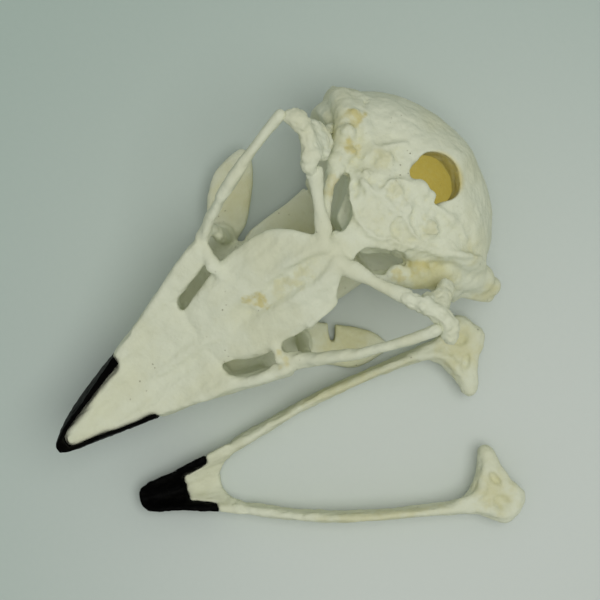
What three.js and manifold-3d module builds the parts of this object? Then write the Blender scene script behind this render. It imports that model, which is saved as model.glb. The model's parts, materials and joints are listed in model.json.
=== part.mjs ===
// Eagle skull, life size, resting upside down on its crown with its own lower jaw lying beside it.
// Millimetres. The skull is drawn in its own frame: x to the bird's right, y back from the tip of the
// bill, z from the crown up to the palate. The lower jaw has a frame of the same kind, z to its back.

import * as THREE from "three";
import { mergeVertices } from "three/addons/utils/BufferGeometryUtils.js";
import Module from "manifold-3d";

const wasm = await Module();
wasm.setup();

// How the bones lie
const GAP = 0.3;
const ROLL_DEG = 5.3;
const JAW_TURN_DEG = -22.1;
const JAW_TIP = [25.6, 4.7];

// Upper bill
const HOOK_REACH = 30;
const HOOK_HEIGHT = 35;
const BILL_BACK = 62;
const CHEEK_BACK = 54;
const ROOF_THICKNESS = 9.5;
const ROOF_HALF = 12.4;
const PALATE_BACK = 41.3;
const HORN = 1.0;
const HORN_BACK = 22;
const HORN_FRONT = 2.0;

// Palatines and cheeks: how far each side lies out
const PALATINE_SPREAD = { left: 1.1, right: 0.9 };
const CHEEK_SPREAD = { left: 1.4, right: 0.1 };
const JUGAL_LEAN = 2.4;

// Skull roof and braincase
const ROOF_BACK = 81.7;
const BRAIN_CENTRE = [0, 93, 21];
const BRAIN_HALF = [28.4, 24.6, 21];
const FORAMEN = [0.4, 104.8, 38.9];
const FORAMEN_RISE_DEG = 63;
const FORAMEN_HALF = [5.6, 5.2];

// Lower jaw
const CHIN_BACK = 24;
const JAW_HORN_BACK = 11;
const JAW_HORN_ARM = 17.5;
const JAW_HORN_RIM = 1.9;

const BONE_COLOUR = 0xe9e4cf;
const HORN_COLOUR = 0x15130f;

const flat = (x) => Math.max(x, 0);
const range = (count, from, to) =>
  Array.from({ length: count + 1 }, (_, i) => from + ((to - from) * i) / count);

/** Smooth curve through [position, value] pairs that never swings past them. */
function profile(...pairs) {
  const slope = pairs.map((p, i) => {
    if (i === 0 || i === pairs.length - 1) return 0;
    const before = (p[1] - pairs[i - 1][1]) / (p[0] - pairs[i - 1][0]);
    const after = (pairs[i + 1][1] - p[1]) / (pairs[i + 1][0] - p[0]);
    return before * after <= 0 ? 0 : (2 * before * after) / (before + after);
  });
  const last = pairs.length - 1;
  slope[0] = (pairs[1][1] - pairs[0][1]) / (pairs[1][0] - pairs[0][0]);
  slope[last] = (pairs[last][1] - pairs[last - 1][1]) / (pairs[last][0] - pairs[last - 1][0]);
  return (at) => {
    const t = Math.min(Math.max(at, pairs[0][0]), pairs[last][0]);
    let i = 0;
    while (i < last - 1 && t > pairs[i + 1][0]) i += 1;
    const width = pairs[i + 1][0] - pairs[i][0];
    const s = (t - pairs[i][0]) / width;
    const start = pairs[i][1] * (1 + 2 * s) * (1 - s) ** 2 + slope[i] * width * s * (1 - s) ** 2;
    const end = pairs[i + 1][1] * s * s * (3 - 2 * s) + slope[i + 1] * width * s * s * (s - 1);
    return start + end;
  };
}

/** Turns a closed geometry into a solid whose faces point out. */
function solid(geometry) {
  geometry.deleteAttribute("normal");
  geometry.deleteAttribute("uv");
  const merged = mergeVertices(geometry, 1e-4);
  const points = merged.getAttribute("position").array;
  const corners = new Uint32Array(merged.index.array);
  const at = (i) => new THREE.Vector3().fromArray(points, 3 * i);
  let volume = 0;
  for (let i = 0; i < corners.length; i += 3) {
    volume += at(corners[i]).dot(at(corners[i + 1]).cross(at(corners[i + 2])));
  }
  if (volume < 0) corners.reverse();
  const mesh = new wasm.Mesh({ numProp: 3, vertProperties: new Float32Array(points), triVerts: corners });
  return new wasm.Manifold(mesh);
}

/** Closed solid over a row of rings that all have the same number of points. */
function skin(rings) {
  const count = rings[0].length;
  const centres = [rings[0], rings.at(-1)].map((ring) =>
    ring.reduce((sum, p) => sum.add(p), new THREE.Vector3()).divideScalar(count),
  );
  const points = [...rings.flat(), ...centres];
  const first = points.length - 2;
  const last = points.length - 1;
  const corners = [];
  for (let i = 0; i < count; i += 1) {
    const next = (i + 1) % count;
    const base = (rings.length - 1) * count;
    corners.push(first, next, i, last, base + i, base + next);
    for (let r = 0; r < rings.length - 1; r += 1) {
      const a = r * count;
      const b = a + count;
      corners.push(a + i, a + next, b + next, a + i, b + next, b + i);
    }
  }
  const geometry = new THREE.BufferGeometry().setFromPoints(points);
  geometry.setIndex(corners);
  return solid(geometry);
}

/** Oval ring round a centre; a power over 2 makes it boxier. */
function oval(centre, across, over, half, power = 2, sides = 14) {
  return range(sides, 0, 2 * Math.PI).slice(0, -1).map((a) => {
    const u = Math.sign(Math.cos(a)) * Math.abs(Math.cos(a)) ** (2 / power) * half[0];
    const v = Math.sign(Math.sin(a)) * Math.abs(Math.sin(a)) ** (2 / power) * half[1];
    return centre.clone().addScaledVector(across, u).addScaledVector(over, v);
  });
}

/** Tapering bar with rounded ends; each stop is [x, y, z, half width, half height]. */
function bar(stops, { grow = 0, steps = 8, sides = 8, up = [0, 0, 1] } = {}) {
  const path = new THREE.CatmullRomCurve3(stops.map((s) => new THREE.Vector3(s[0], s[1], s[2])));
  const wide = profile(...stops.map((s, i) => [i / (stops.length - 1), s[3] + grow]));
  const tall = profile(...stops.map((s, i) => [i / (stops.length - 1), s[4] + grow]));
  const ring = (t, share, shift) => {
    const tangent = path.getTangent(t);
    const across = tangent.clone().cross(new THREE.Vector3(...up)).normalize();
    const over = across.clone().cross(tangent);
    const reach = Math.min(wide(t), tall(t)) * shift;
    const centre = path.getPoint(t).addScaledVector(tangent, reach);
    return oval(centre, across, over, [wide(t) * share, tall(t) * share], 2, sides);
  };
  const round = [65, 33].map((deg) => THREE.MathUtils.degToRad(deg));
  return skin([
    ...round.map((a) => ring(0, Math.cos(a), -Math.sin(a))),
    ...range(steps, 0, 1).map((t) => ring(t, 1, 0)),
    ...round.reverse().map((a) => ring(1, Math.cos(a), Math.sin(a))),
  ]);
}

/** Ellipsoid, turned about z by an angle in degrees. */
function ball(centre, half, { grow = 0, turn = 0, sides = 14 } = {}) {
  const geometry = new THREE.SphereGeometry(1, sides, Math.round(sides * 0.64));
  geometry.rotateX(Math.PI / 2);
  geometry.scale(half[0] + grow, half[1] + grow, half[2] + grow);
  geometry.rotateZ(THREE.MathUtils.degToRad(turn));
  geometry.translate(...centre);
  return solid(geometry);
}

/** Block between two corners. */
function block(low, high) {
  const geometry = new THREE.BoxGeometry(high[0] - low[0], high[1] - low[1], high[2] - low[2]);
  geometry.translate((low[0] + high[0]) / 2, (low[1] + high[1]) / 2, (low[2] + high[2]) / 2);
  return solid(geometry);
}

/** Plate with a smooth outline in plan and softened edges, between two heights. */
function plate(outline, low, high, edge = 0.6, count = 26) {
  const curve = new THREE.CatmullRomCurve3(outline.map(([x, y]) => new THREE.Vector3(x, y, 0)), true);
  const turn = THREE.ShapeUtils.isClockWise(curve.getPoints(count)) ? -1 : 1;
  const ring = ([z, inset]) =>
    range(count, 0, 1).slice(0, -1).map((t) => {
      const along = curve.getTangent(t);
      const inward = new THREE.Vector3(-along.y, along.x, 0).multiplyScalar(turn * inset);
      return curve.getPoint(t).add(inward).setZ(z);
    });
  return skin([[low, edge], [low + edge, 0], [high - edge, 0], [high, edge]].map(ring));
}

const join = (...solids) => wasm.Manifold.union(solids);
const largest = (made) => made.decompose().sort((a, b) => b.volume() - a.volume())[0];

// Upper bill: arched culmen below, cutting edges and hollow palate above
const culmenBack = profile([HOOK_REACH, 0], [46, 0], [55, 0.8], [BILL_BACK, 2.4]);
const culmen = (y) =>
  y < HOOK_REACH ? HOOK_HEIGHT * (1 - Math.sqrt(1 - ((HOOK_REACH - y) / HOOK_REACH) ** 2)) : culmenBack(y);
const edgeFront = [[0, 35.4], [3, 31.5], [7, 28.4], [12, 27]];
const edgeBack = [[22, 28], [36, 31.6], [52, 37.2], [62, 40.4]];
const cuttingEdge = profile(...edgeFront, ...edgeBack);
const halfFront = [[0, 0.8], [0.8, 1.7], [4.1, 3.6], [9.7, 5.7]];
const halfBack = [[22.6, 9.3], [28, 10.9], [36.6, 13.3], [44, 16.1], [55, 19.4]];
const billHalf = profile(...halfFront, ...halfBack);
const rimFront = [[0, 0.6], [0.8, 1.3], [4.1, 2.9], [9.7, 4.6]];
const rimBack = [[14.5, 6.3], [22.6, 8.8], [33, 12.1], [40.5, 14.6], [49.5, 17.6], [55, 19], [62, 20.2]];
const rimHalf = profile(...rimFront, ...rimBack);
const rimLean = profile([0, 0], [10, 0.1], [22, 0.6], [33, 1.15], [49.5, 1.6], [62, 1.8]);
const hornWrap = {
  left: profile([0, 0.1], [8, 0.6], [16, 1.1], [22, 1.7]),
  right: profile([0, 0], [14, 0], [22, 0.3]),
};
const billPower = profile([0, 2], [30, 2.1], [BILL_BACK, 2.9]);
const palateDip = profile([0, 0.2], [5, 0.6], [15, 1.5], [30, 2.0], [45, 2.2]);

function billRing(y, inset = 0, lift = 0) {
  const low = Math.max(culmen(y) + inset, culmen(flat(y - inset)));
  const edge = cuttingEdge(y) + lift;
  const half = Math.max(billHalf(y) - inset, 0.5);
  const belly = low + (cuttingEdge(y) - low) * 0.45;
  const power = 2 / billPower(y);
  const flank = (side) => {
    const wrap = inset > 0 ? hornWrap[side < 0 ? "left" : "right"](y) : 0;
    const rim = Math.max(rimHalf(y) - side * rimLean(y) - inset - wrap, 0.4);
    return [
      ...range(6, 0, Math.PI / 2).map((a) => [
        half * flat(Math.sin(a)) ** power,
        belly - (belly - low) * flat(Math.cos(a)) ** power,
      ]),
      ...range(2, 0.5, 1).slice(0, 2).map((t) => [half - (half - rim) * t * t, belly + (edge - belly) * t]),
      ...[1, 0.67, 0.33, 0].map((t) => [rim * t, edge - palateDip(y) * (1 - t * t)]),
    ].map(([x, z]) => new THREE.Vector3(side * x, y, z));
  };
  return [...flank(1), ...flank(-1).slice(1, -1).reverse()];
}

const tipStations = [0, 0.3, 0.9, 2, 3.8, 6, 9, 13, 17.5];
const billStations = [HORN_BACK + GAP, 26, 30, 34, 38, 42, 46, 50, 54, 58, BILL_BACK];

function upperBill() {
  const core = [HORN_FRONT, 3.8, 6, 9, 13, 17.5, HORN_BACK].map((y) => billRing(y, HORN + GAP));
  const whole = skin([...core, ...billStations.map((y) => billRing(y))]);
  const bayHalf = profile([PALATE_BACK, 9.8], [42.2, 11.4], [46, 12.7], [52, 14.6], [70, 20]);
  const bay = skin(
    [PALATE_BACK, 42.2, 46, 52, 70].map((y) => {
      const half = bayHalf(y);
      return [[-half, 16], [half, 16], [half, 60], [-half, 60]].map(([x, z]) => new THREE.Vector3(x, y, z));
    }),
  );
  const cuts = [
    bay,
    block([-40, CHEEK_BACK, ROOF_THICKNESS], [40, 80, 60]),
    ball([0, 53.5, 20], [40, 5.5, 8.5]),
  ];
  for (const side of [-1, 1]) {
    cuts.push(block([side < 0 ? -40 : ROOF_HALF, 55, -10], [side < 0 ? -ROOF_HALF : 40, 80, 30]));
    cuts.push(ball([side * 14, 35.5, 14], [5.4, 5.4, 4], { turn: side * 12 }));
  }
  return largest(whole.subtract(join(...cuts)));
}

function billSheath() {
  const outside = skin([...tipStations, HORN_BACK].map((y) => billRing(y)));
  const inside = [HORN_FRONT - GAP, 3.8, 6, 9, 13, 17.5, HORN_BACK + 1];
  return largest(outside.subtract(skin(inside.map((y) => billRing(y, HORN, 4)))));
}

// Palatines: broad plates with a ridge beside the trough of the inner nostrils
const palatineBase = profile([41, 31.4], [52, 36.2], [65, 41.2], [74, 44.4], [77, 45.2]);
const edgeSpread = [[41, 7.6], [46, 9.2], [52, 11], [60, 12]];
const edgeRound = [[66, 12], [70, 10.8], [73, 8.4], [76.6, 4.6]];
const palatineEdge = profile(...edgeSpread, ...edgeRound);
const troughDepth = profile([46, 0], [56, 1.8], [66, 3], [74, 2.6], [77, 1.4]);
const ridgeRise = profile([48, 0], [58, 0.6], [72, 1.0], [77, 0.5]);

function palatine(side) {
  const spread = side < 0 ? PALATINE_SPREAD.left : PALATINE_SPREAD.right;
  const top = (x, y) => {
    const trough = troughDepth(y) * flat(1 - (x / 2.9) ** 2);
    const ridge = ridgeRise(y) * Math.exp(-(((x - 3.6) / 1.3) ** 2));
    return palatineBase(y) - trough + ridge - 0.05 * flat(x - 7) ** 2;
  };
  const stations = [PALATE_BACK + GAP, 44, 47, 50, 53, 56, 59, 62, 65, 68, 70.5, 72.5, 74.5, 76.6];
  const body = skin(
    stations.map((y) => {
      const edge = palatineEdge(y) * spread;
      const row = range(8, 0, 1).map((t) => 0.2 + (edge - 0.2) * t);
      const upper = row.map((x) => new THREE.Vector3(side * x, y, top(x, y)));
      const lower = row.map((x) => new THREE.Vector3(side * Math.min(x, edge - 0.5), y, top(x, y) - 1.8));
      return [...upper, ...lower.reverse()];
    }),
  );
  const spur = bar([[side * 9.5, 54.2, 36.2, 1.4, 0.9], [side * 13.3, 52.9, 36.8, 1.3, 0.9]], { steps: 4 });
  return largest(join(body, spur));
}

// Cheek bars and the bones of the jaw joint
const cheek = (side, x) => side * (x + (side < 0 ? CHEEK_SPREAD.left : CHEEK_SPREAD.right));

function jugal(side, grow = 0) {
  return bar(
    [
      [side * 17.6 - JUGAL_LEAN, 55.8, 35.8, 1.5, 2.2],
      [side * 22.6 - JUGAL_LEAN, 64.6, 41.8, 1.3, 1.9],
      [side * 26.8 - JUGAL_LEAN, 75.5, 46.2, 1.3, 1.8],
      [side * 29.6 - JUGAL_LEAN, 85.2, 49.4, 1.6, 1.9],
    ],
    { grow, steps: 12 },
  );
}

function quadrate(side, grow = 0) {
  const stem = [
    [side * 23.2, 88.6, 44, 3.4, 3],
    [side * 22.6, 91.4, 37.5, 2.6, 2.4],
    [side * 22, 93.4, 32.5, 3.4, 2.8],
  ];
  return join(
    ball([cheek(side, 26.6), 88, 49.4], [3.8, 3.5, 3.2], { grow, turn: side * 20, sides: 10 }),
    ball([side * 20.6, 86.2, 49.6], [3.2, 3.2, 3.0], { grow, sides: 10 }),
    ball([side * 23.2, 88, 45], [5.2, 3.4, 5.4], { grow, sides: 10 }),
    bar(stem, { grow, steps: 6, up: [1, 0, 0] }),
    bar([[side * 21, 87, 43, 1.8, 1.8], [side * 15.5, 83.4, 36, 1.0, 1.2]], { grow, steps: 4 }),
  );
}

function pterygoid(side) {
  return bar(
    [
      [side * 4.9, 78.3, 45.2, 1.9, 1.2],
      [side * 11.5, 81, 46.5, 1.4, 1.2],
      [side * 17.4, 84.4, 48.2, 2.0, 1.5],
    ],
    { steps: 10 },
  );
}

// Skull roof, partition between the eyes, brow bones
const roofHalf = profile([62, 12.2], [64, 13.3], [78, 13.3], [82, 14.2]);
const roofLow = profile([62, 2.4], [70, 1.7], [80, 0.8], [82, 0.6]);
const roofThick = profile([62, 5], [70, 3.6], [82, 4.4]);

function frontal() {
  return skin(
    range(7, BILL_BACK + GAP, ROOF_BACK).map((y) => {
      const centre = new THREE.Vector3(0, y, roofLow(y) + roofThick(y) / 2);
      const half = [roofHalf(y), roofThick(y) / 2];
      const ring = oval(centre, new THREE.Vector3(1, 0, 0), new THREE.Vector3(0, 0, 1), half, 3.2, 20);
      ring.forEach((p) => p.setZ(p.z + 1.1 * (p.x / half[0]) ** 2));
      return ring;
    }),
  );
}

function septum() {
  const low = profile([60, 9.8], [62, 9.8], [65, 7.2], [70, 5.7], [82, 5.4]);
  const high = profile([60, 22], [66, 33], [74, 37], [82, 38.6]);
  const sheet = skin(
    [60, 62, 64, 67, 70, 73, 76, 79, ROOF_BACK].map((y) => {
      const centre = new THREE.Vector3(0, y, (low(y) + high(y)) / 2);
      const half = [1.0, (high(y) - low(y)) / 2];
      return oval(centre, new THREE.Vector3(1, 0, 0), new THREE.Vector3(0, 0, 1), half, 4, 16);
    }),
  );
  const rostrum = [[0, 66, 33, 1.2, 1.4], [0, 71.5, 35.6, 1.7, 1.6], [0, 77, 37.6, 2.0, 1.7]];
  return join(sheet, bar(rostrum, { steps: 6 }));
}

function lacrimal(side) {
  const outline = [
    [13.4, 57],
    [19.5, 57],
    [25.4, 61.6],
    [29, 65.8],
    [30, 70.4],
    [30, 75.3],
    [26.5, 75.2],
    [22.4, 72.6],
    [18.6, 69],
    [13.9, 63.8],
  ];
  const brow = plate(outline.map(([x, y]) => [side * x, y]), 2.75, 5.1);
  const pillar = bar(
    [
      [side * 15.4, 59.6, 5.4, 2.3, 1.7],
      [side * 16.4, 58.6, 18, 1.8, 1.3],
      [side * 18.2, 58.4, 32, 1.5, 1.2],
    ],
    { steps: 8, up: [0, 1, 0] },
  );
  const roof = block([side < 0 ? -ROOF_HALF - GAP : 0, 40, -5], [side < 0 ? 0 : ROOF_HALF + GAP, 64, 12]);
  return largest(join(brow, pillar).subtract(roof));
}

// Braincase with the great opening, condyle, ear hollows and the wings round them
function braincase() {
  const across = new THREE.Vector3(1, 0, 0);
  const back = new THREE.Vector3(0, 1, 0);
  const rise = THREE.MathUtils.degToRad(FORAMEN_RISE_DEG);
  const along = (reach) => [
    FORAMEN[0],
    FORAMEN[1] + reach * Math.cos(rise),
    FORAMEN[2] + reach * Math.sin(rise),
    ...FORAMEN_HALF,
  ];
  const parts = [
    ball(BRAIN_CENTRE, BRAIN_HALF, { sides: 26 }),
    ball([0, 109.5, 23], [9, 8.3, 14]),
    ball([0, 101.5, 26.5], [24.6, 13, 13.4], { sides: 20 }),
    bar(
      [
        [0, 79.2, 41.2, 2.2, 1.5],
        [0, 84, 41.2, 5.5, 2.6],
        [0, 90, 40.6, 10.5, 3.2],
        [0, 96, 39.4, 11.5, 3.6],
        [0, 99.5, 37.6, 9, 3.6],
      ],
      { steps: 10, sides: 16 },
    ),
  ];
  const cuts = [block([-50, 40, -10], [50, ROOF_BACK + GAP, 38.9])];
  const seats = [];
  for (const side of [-1, 1]) {
    const wing = [
      [side * 12.5, 97.4, 37.8, 2.2, 2.2],
      [side * 18.5, 99.6, 36.2, 2.2, 2.4],
      [side * 23, 102.2, 30, 2.4, 2.6],
    ];
    const temple = [[side * 27.2, 99.4, 19, 2, 3], [side * 23.4, 102, 29, 2, 2.6]];
    const spur = [
      [side * 23.5, 97, 8, 3.6, 3],
      [side * 27, 99.3, 15, 2.6, 2.4],
      [side * 28.2, 99.7, 23, 1.2, 1.4],
    ];
    parts.push(
      bar(wing, { steps: 6 }),
      bar(temple, { steps: 4, up: [0, 1, 0] }),
      bar(spur, { steps: 7, up: [0, 1, 0] }),
    );
    const socket = [23, 60].map((z) =>
      oval(new THREE.Vector3(side * 24.5, 76, z), across, back, [21, 17.5], 2, 20),
    );
    const brow = [[14.3, 80], [15.5, 84.5], [19.5, 90], [24.7, 96.3], [45, 98], [45, 80]];
    const notch = [-8, 13].map((z) => brow.map(([x, y]) => new THREE.Vector3(side * x, y, z)));
    cuts.push(
      ball([side * 24.5, 76, 23], [21, 17.5, 19], { sides: 20 }),
      skin(socket),
      skin(notch),
      ball([side * 22.6, 93.6, 40.5], [9, 6.2, 9], { turn: side * 30 }),
    );
    seats.push(quadrate(side, GAP));
  }
  const hollow = join(
    ball([0, 100, 21], [16.5, 11.5, 14.5]),
    ball([FORAMEN[0], 104, 31], [7.5, 6.2, 5.5]),
    bar([along(-14), along(10)], { steps: 2, sides: 16 }),
  );
  const shell = join(...parts).subtract(join(...cuts, hollow));
  const condyle = ball([0, 101.1, 40.2], [2.7, 1.9, 2.3]);
  return largest(join(shell, condyle).subtract(join(...seats)));
}

// Lower jaw: joined chin in front, a blade on each side, a joint plate at each end
const chinHalf = profile([0, 1.7], [0.8, 2.6], [3, 3.5], [8, 4.4], [17.5, 7.0], [CHIN_BACK, 9]);
const chinLow = profile([0, 3.4], [1, 2], [4, 0.6], [9, 0], [CHIN_BACK, 0]);
const chinRim = profile([0, 5.4], [2, 6.6], [8, 7.2], [CHIN_BACK, 8]);
const chinFloor = profile([0, 5.2], [4, 5.2], [10, 4], [16, 3.2], [CHIN_BACK, 3]);

const chinBend = profile([0, -1.2], [10, -1.15], [17.5, -0.9], [CHIN_BACK, -0.5], [34, 0]);

function chinRing(y) {
  const half = chinHalf(y);
  const rise = chinRim(y) - chinFloor(y);
  const side = [
    ...range(6, 0, Math.PI / 2).map((a) => [
      half * Math.sin(a) ** 0.8,
      chinRim(y) - (chinRim(y) - chinLow(y)) * flat(Math.cos(a)) ** 0.8,
    ]),
    ...[0.8, 0.55, 0.28, 0].map((t) => [half * t, chinFloor(y) + rise * (t / 0.8) ** 2 * 0.96]),
  ];
  const other = side.slice(1, -1).reverse().map(([x, z]) => [-x, z]);
  return [...side, ...other].map(([x, z]) => new THREE.Vector3(x + chinBend(y), y, z));
}

/** Room inside the horn of the chin: everything behind its front edge and within its rims. */
function chinRoom(shrink) {
  const arm = JAW_HORN_ARM + shrink;
  const stations = [JAW_HORN_BACK + shrink, 13, 15, arm, arm, CHIN_BACK + 5];
  return skin(
    stations.map((y, i) => {
      const half = i < 4 ? chinHalf(y) - JAW_HORN_RIM - shrink : 30;
      const corners = [[-half, -5], [half, -5], [half, 20], [-half, 20]];
      return corners.map(([x, z]) => new THREE.Vector3(x + chinBend(y), y, z));
    }),
  );
}

const chinBody = () =>
  skin([0, 0.3, 0.8, 1.6, 3, 5, 8, 11, 14, 17.5, 20.5, CHIN_BACK].map(chinRing)).subtract(
    ball([-0.5, 27, 4], [6.4, 7.8, 30]),
  );
const jawSheath = () => largest(chinBody().subtract(chinRoom(0)));
const jawChin = () => largest(chinBody().intersect(chinRoom(GAP)));

const ramusLine = profile([24, 7.5], [34.6, 11.2], [47.5, 14.8], [58, 16.8], [69.5, 18.5], [78, 19.6]);
const ramusThin = profile([24, 1.4], [40, 1.15], [60, 1.1], [72, 1.4], [78, 2.0]);
const ramusLow = profile([24, 0], [60, 0.1], [70, 0.6], [78, 2.2]);
const ramusHigh = profile([24, 7.8], [40, 10.2], [54, 11.8], [66, 11.2], [78, 9.4]);

function ramus(side) {
  const blade = skin(
    [CHIN_BACK + GAP, 28, 33, 38, 43, 48, 53, 58, 63, 68, 72, 75, 78].map((y) => {
      const middle = (ramusLow(y) + ramusHigh(y)) / 2;
      const centre = new THREE.Vector3(side * ramusLine(y) + chinBend(y), y, middle);
      const half = [ramusThin(y), (ramusHigh(y) - ramusLow(y)) / 2];
      return oval(centre, new THREE.Vector3(1, 0, 0), new THREE.Vector3(0, 0, 1), half, 2.8, 14);
    }),
  );
  const outline = [
    [18.6, 74.5],
    [15.4, 78.2],
    [11.6, 80.6],
    [6.2, 82.6],
    [6.8, 85],
    [13.4, 86.8],
    [20.4, 90.3],
    [25.8, 84.6],
    [22.4, 79.6],
  ];
  const joint = plate(outline.map(([x, y]) => [side * x, y]), 3, 8.4, 1.4);
  const heel = [
    [side * 18.6, 77, 6, 1.6, 3],
    [side * 19.4, 84, 5.6, 3.2, 3.2],
    [side * 20, 88, 5.4, 2, 2.4],
  ];
  return largest(join(blade, joint, bar(heel, { steps: 5 })));
}

// Bones put together
function bone(name, made, colour = BONE_COLOUR) {
  const { vertProperties, triVerts } = made.getMesh();
  const geometry = new THREE.BufferGeometry();
  geometry.setAttribute("position", new THREE.BufferAttribute(new Float32Array(vertProperties), 3));
  geometry.setIndex(new THREE.BufferAttribute(new Uint32Array(triVerts), 1));
  const roughness = colour === HORN_COLOUR ? 0.35 : 0.7;
  const mesh = new THREE.Mesh(geometry, new THREE.MeshStandardMaterial({ color: colour, roughness }));
  mesh.name = name;
  return mesh;
}

const skull = new THREE.Group();
skull.add(
  bone("upper_bill", upperBill()),
  bone("bill_sheath", billSheath(), HORN_COLOUR),
  bone("frontal", frontal()),
  bone("septum", septum()),
  bone("braincase", braincase()),
);
const jaw = new THREE.Group();
jaw.add(bone("jaw_chin", jawChin()), bone("jaw_sheath", jawSheath(), HORN_COLOUR));
for (const [label, side] of [["left", -1], ["right", 1]]) {
  const cheekEnd = jugal(side, GAP);
  const hinge = quadrate(side, GAP);
  skull.add(
    bone("palatine_" + label, palatine(side)),
    bone("jugal_" + label, jugal(side)),
    bone("quadrate_" + label, largest(quadrate(side).subtract(cheekEnd))),
    bone("pterygoid_" + label, largest(pterygoid(side).subtract(hinge))),
    bone("lacrimal_" + label, lacrimal(side)),
  );
  jaw.add(bone("ramus_" + (side < 0 ? "right" : "left"), ramus(side)));
}
skull.rotation.y = THREE.MathUtils.degToRad(ROLL_DEG);
jaw.rotation.z = THREE.MathUtils.degToRad(JAW_TURN_DEG);
jaw.position.set(...JAW_TIP, 0);

const model = new THREE.Group();
model.add(skull, jaw);
for (const group of [skull, jaw]) {
  model.updateMatrixWorld(true);
  group.position.z -= new THREE.Box3().setFromObject(group, true).min.z;
}
model.updateMatrixWorld(true);
const box = new THREE.Box3().setFromObject(model, true);
const middle = box.getCenter(new THREE.Vector3());
for (const group of [skull, jaw]) {
  group.position.x -= middle.x;
  group.position.y -= middle.y;
}

export default model;
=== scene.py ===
"""Eagle skull lying upside down with its lower jaw beside it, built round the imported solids."""

import json
import logging
import math
from dataclasses import dataclass
from enum import Enum
from typing import Any, Callable, Iterable, Sequence

import bpy
from mathutils import Euler, Matrix, Vector

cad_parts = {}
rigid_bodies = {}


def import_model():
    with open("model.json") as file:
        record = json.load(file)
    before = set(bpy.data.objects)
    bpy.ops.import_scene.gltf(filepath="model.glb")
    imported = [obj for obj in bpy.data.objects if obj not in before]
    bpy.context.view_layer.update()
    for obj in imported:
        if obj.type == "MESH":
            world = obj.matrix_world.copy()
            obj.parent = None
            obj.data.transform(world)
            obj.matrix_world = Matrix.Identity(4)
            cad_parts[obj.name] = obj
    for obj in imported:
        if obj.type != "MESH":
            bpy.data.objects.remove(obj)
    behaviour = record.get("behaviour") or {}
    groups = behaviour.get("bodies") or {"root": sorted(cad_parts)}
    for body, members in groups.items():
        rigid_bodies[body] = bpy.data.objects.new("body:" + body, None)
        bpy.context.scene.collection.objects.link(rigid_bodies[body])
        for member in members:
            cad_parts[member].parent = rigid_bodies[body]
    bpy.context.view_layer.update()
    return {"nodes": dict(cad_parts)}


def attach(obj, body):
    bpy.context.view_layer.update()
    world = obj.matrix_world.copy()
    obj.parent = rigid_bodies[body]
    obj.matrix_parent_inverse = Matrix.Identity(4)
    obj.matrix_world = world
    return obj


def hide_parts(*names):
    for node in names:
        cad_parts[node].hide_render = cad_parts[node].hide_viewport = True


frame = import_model()
LOG = logging.getLogger("eagle_skull")

MM = 0.001
Point = tuple[float, float, float]


class Side(Enum):
    """Side of the bird; its value is the sign of x in a bone's own frame."""

    LEFT = -1
    RIGHT = 1


@dataclass(frozen=True)
class Lie:
    """How a bone's own frame, in millimetres, lies in the row frame, in metres."""

    shift: Point
    roll_deg: float = 0.0
    turn_deg: float = 0.0

    def matrix(self) -> Matrix:
        """Matrix from the bone's frame to the row frame."""
        turned = Euler((0, math.radians(self.roll_deg), math.radians(self.turn_deg))).to_matrix().to_4x4()
        return Matrix.Translation(Vector(self.shift) * MM) @ turned @ Matrix.Scale(MM, 4)


SKULL_LIE = Lie(shift=(-25.8024, -58.7345, 0.1260), roll_deg=5.3)
JAW_LIE = Lie(shift=(-0.2024, -54.0345, 0.0), turn_deg=-22.1)


def rise(value: float, low: float, high: float) -> float:
    """Straight rise from 0 at low to 1 at high."""
    return min(max((value - low) / (high - low), 0.0), 1.0)


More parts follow.
